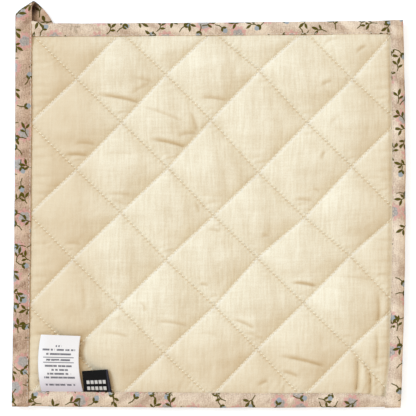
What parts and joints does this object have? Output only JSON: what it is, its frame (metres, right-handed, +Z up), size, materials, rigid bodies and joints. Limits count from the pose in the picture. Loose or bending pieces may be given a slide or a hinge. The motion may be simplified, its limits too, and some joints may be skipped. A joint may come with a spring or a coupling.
{
  "type": "quilted hot pad",
  "caption": "Square quilted cotton hot pad with diamond stitching, printed cotton binding tape, a corner hanging loop and two sewn-in labels, lying with its plain side up",
  "frame": {"origin": "middle of the base of the whole pad, loop included, on the surface that it lies on", "axes": "+Z up through the pad's thickness, +Y towards the edge with the hanging loop, +X to the right with the loop at the top left"},
  "size_m": [0.2024, 0.2094, 0.0097],
  "materials": {
    "cream_cotton": "plain woven, unbleached",
    "cotton_wadding": "lofty, matte",
    "printed_cotton": "plain woven, small floral print",
    "white_satin": "smooth satin ribbon",
    "black_woven": "tightly woven ribbon"
  },
  "bodies": {
    "root": {"cream_cover": "cream_cotton", "wadding": "cotton_wadding", "print_cover": "printed_cotton", "binding_left": "printed_cotton", "binding_top": "printed_cotton", "binding_right": "printed_cotton", "binding_bottom": "printed_cotton", "care_label": "white_satin", "black_tab": "black_woven"}
  },
  "joints": []
}
